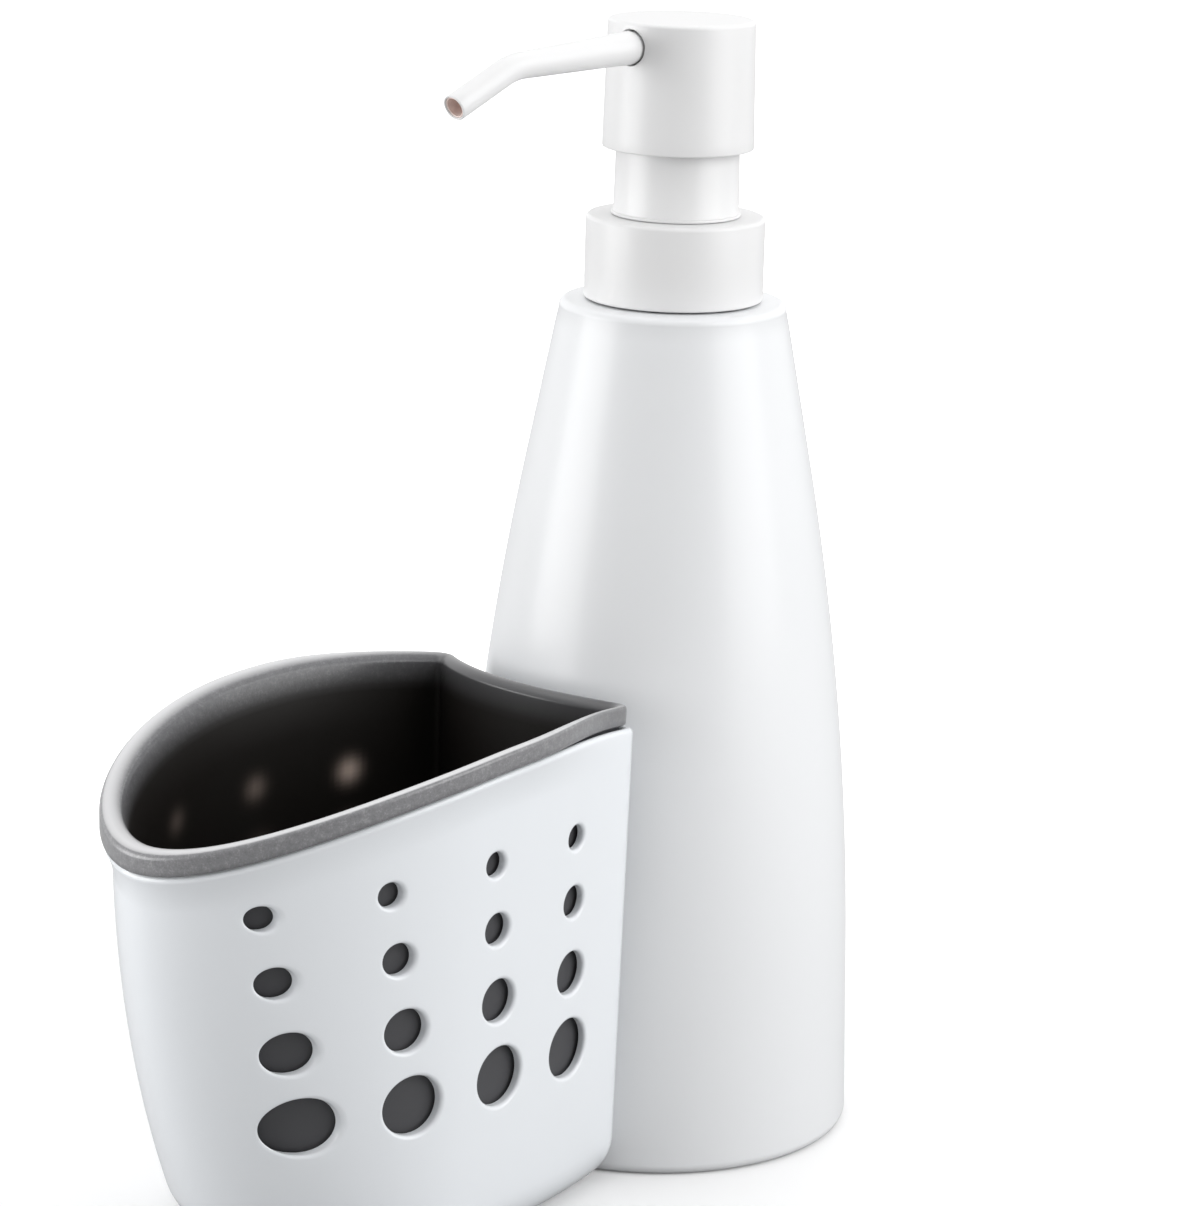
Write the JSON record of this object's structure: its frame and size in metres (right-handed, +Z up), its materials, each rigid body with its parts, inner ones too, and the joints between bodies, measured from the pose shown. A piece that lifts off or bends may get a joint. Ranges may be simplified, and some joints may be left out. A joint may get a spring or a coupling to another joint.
{
  "type": "soap pump caddy",
  "caption": "Tapered soap bottle with a press-down pump and swivelling spout, and a hang-on caddy made of a perforated shell and a lift-out liner cup for small bathroom things.",
  "frame": {"origin": "centre of the bottle's foot, on the surface it stands on", "axes": "+Z up along the bottle's axis; the caddy and the spout reach towards -X; +Y is the caddy's left side seen from the bottle"},
  "size_m": [0.1919, 0.0876, 0.2406],
  "materials": {
    "bottle_white": "glossy cool white",
    "caddy_white": "glossy cool white",
    "pump_white": "semi-gloss neutral white",
    "inner_plastic": "natural translucent",
    "tube_plastic": "milky translucent",
    "gasket_grey": "soft matt",
    "spring_steel": "drawn wire",
    "ball_steel": "polished",
    "liner_grey": "speckled, sandblast-like grey"
  },
  "bodies": {
    "bottle": {"bottle": "bottle_white"},
    "pump_body": {"neck_gasket": "gasket_grey", "chaplet": "pump_white", "stem_seal": "tube_plastic", "housing": "inner_plastic", "ball_cage": "inner_plastic", "dip_tube": "tube_plastic", "return_spring": "spring_steel"},
    "collar": {"collar_shell": "pump_white", "closure": "inner_plastic"},
    "inlet_ball": {"inlet_ball": "ball_steel"},
    "plunger": {"spring_cap": "inner_plastic"},
    "piston": {"piston": "tube_plastic"},
    "head": {"valve_plug": "inner_plastic", "stem": "inner_plastic", "head_core": "inner_plastic", "head_shell": "pump_white", "spout": "pump_white"},
    "caddy": {"caddy_shell": "caddy_white"},
    "liner": {"liner": "liner_grey"}
  },
  "joints": [
    {"name": "pump_rise", "type": "slide", "parent": "bottle", "child": "pump_body", "axis": [0, 0, 1], "range_m": [0, 0.0084]},
    {"name": "collar_turn", "type": "hinge", "parent": "pump_body", "child": "collar", "pos_m": [0, 0, 0.19], "axis": [0, 0, 1], "range_deg": [0, 720]},
    {"name": "ball_lift", "type": "slide", "parent": "pump_body", "child": "inlet_ball", "axis": [0, 0, 1], "range_m": [0, 0.0011]},
    {"name": "pump_press", "type": "slide", "parent": "pump_body", "child": "plunger", "axis": [0, 0, -1], "range_m": [0, 0.012], "stiffness_N_per_m": 500, "springref_m": -0.008, "deforming": ["return_spring"]},
    {"name": "piston_shift", "type": "slide", "parent": "plunger", "child": "piston", "axis": [0, 0, 1], "range_m": [0, 0.0007]},
    {"name": "head_swivel", "type": "hinge", "parent": "plunger", "child": "head", "pos_m": [0, 0, 0.2], "axis": [0, 0, 1], "continuous": true},
    {"name": "caddy_lift", "type": "slide", "parent": "bottle", "child": "caddy", "axis": [0, 0, 1], "range_m": [0, 0.014]},
    {"name": "liner_lift", "type": "slide", "parent": "caddy", "child": "liner", "axis": [0, 0, 1], "range_m": [0, 0.075]}
  ],
  "couplings": [
    {"joint": "collar_turn", "follows": "pump_rise", "rad_per_m": 1496}
  ]
}
